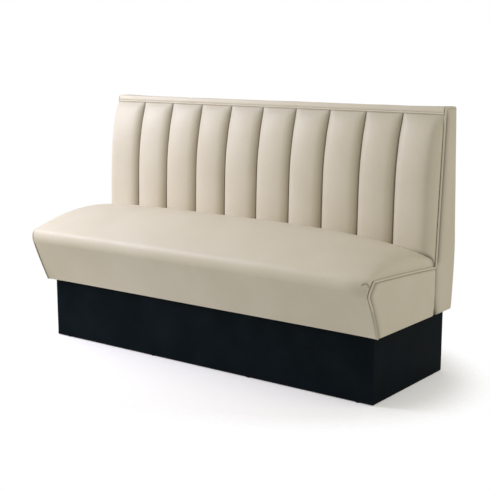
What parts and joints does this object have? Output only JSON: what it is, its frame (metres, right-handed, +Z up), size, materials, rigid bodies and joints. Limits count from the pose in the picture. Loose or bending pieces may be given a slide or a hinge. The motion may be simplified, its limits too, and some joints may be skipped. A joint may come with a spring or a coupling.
{
  "type": "restaurant booth seating",
  "caption": "Upholstered diner booth bench with a crowned seat, a channelled back with piped edges, and a recessed black plinth.",
  "frame": {"origin": "on the floor, under the middle of the booth's whole width and depth", "axes": "+X along the bench to the sitter's left, +Y from the seat's front to the back, +Z up"},
  "size_m": [1.5, 0.6123, 0.938],
  "materials": {
    "black laminate": "black high-pressure laminate, fine matt",
    "plywood": "sanded birch plywood",
    "softwood": "planed pine",
    "zinc plated steel": "bright zinc plate",
    "spring steel": "oiled dark spring steel",
    "black plastic": "moulded polyethylene",
    "black nonwoven": "spunbonded dust cover cloth",
    "insulator felt": "needled fibre pad",
    "upholstery foam": "open-cell polyurethane foam",
    "cream leatherette": "semi-gloss smooth cream vinyl leatherette",
    "cream welt": "cream leatherette over cord"
  },
  "bodies": {
    "root": {"back_base_foam": "upholstery foam", "back_border_cover": "cream leatherette", "back_bottom_rail": "softwood", "back_channel_cover": "cream leatherette", "back_face_board": "plywood", "back_left_end_cover": "cream leatherette", "back_left_upright": "plywood", "back_left_welt": "cream welt", "back_lower_board": "plywood", "back_middle_rail": "softwood", "back_middle_uprights": "plywood", "back_rear_board": "plywood", "back_rear_cover": "cream leatherette", "back_right_end_cover": "cream leatherette", "back_right_upright": "plywood", "back_right_welt": "cream welt", "back_top_pad": "upholstery foam", "back_top_rail": "softwood", "back_top_welt": "cream welt", "channel_foam_01": "upholstery foam", "channel_foam_02": "upholstery foam", "channel_foam_03": "upholstery foam", "channel_foam_04": "upholstery foam", "channel_foam_05": "upholstery foam", "channel_foam_06": "upholstery foam", "channel_foam_07": "upholstery foam", "channel_foam_08": "upholstery foam", "channel_foam_09": "upholstery foam", "channel_foam_10": "upholstery foam", "joining_bolts": "zinc plated steel", "joining_nuts": "zinc plated steel", "joining_washers": "zinc plated steel", "mounting_screws": "zinc plated steel", "plinth_cleats": "softwood", "plinth_corner_blocks": "softwood", "plinth_cross_braces": "softwood", "plinth_end_laminates": "black laminate", "plinth_end_panels": "plywood", "plinth_front_laminate": "black laminate", "plinth_front_panel": "plywood", "plinth_glides": "black plastic", "plinth_rear_panel": "plywood", "seat_cover": "cream leatherette", "seat_dust_cover": "black nonwoven", "seat_foam": "upholstery foam", "seat_front_board": "plywood", "seat_front_bottom_rail": "softwood", "seat_front_foam": "upholstery foam", "seat_front_spring_rail": "softwood", "seat_left_end_board": "plywood", "seat_left_end_cover": "cream leatherette", "seat_left_welt": "cream welt", "seat_rear_rail": "softwood", "seat_ribs": "plywood", "seat_right_end_board": "plywood", "seat_right_end_cover": "cream leatherette", "seat_right_welt": "cream welt", "seat_spring_pad": "insulator felt", "seat_springs": "spring steel", "spring_clips": "spring steel"}
  },
  "joints": []
}
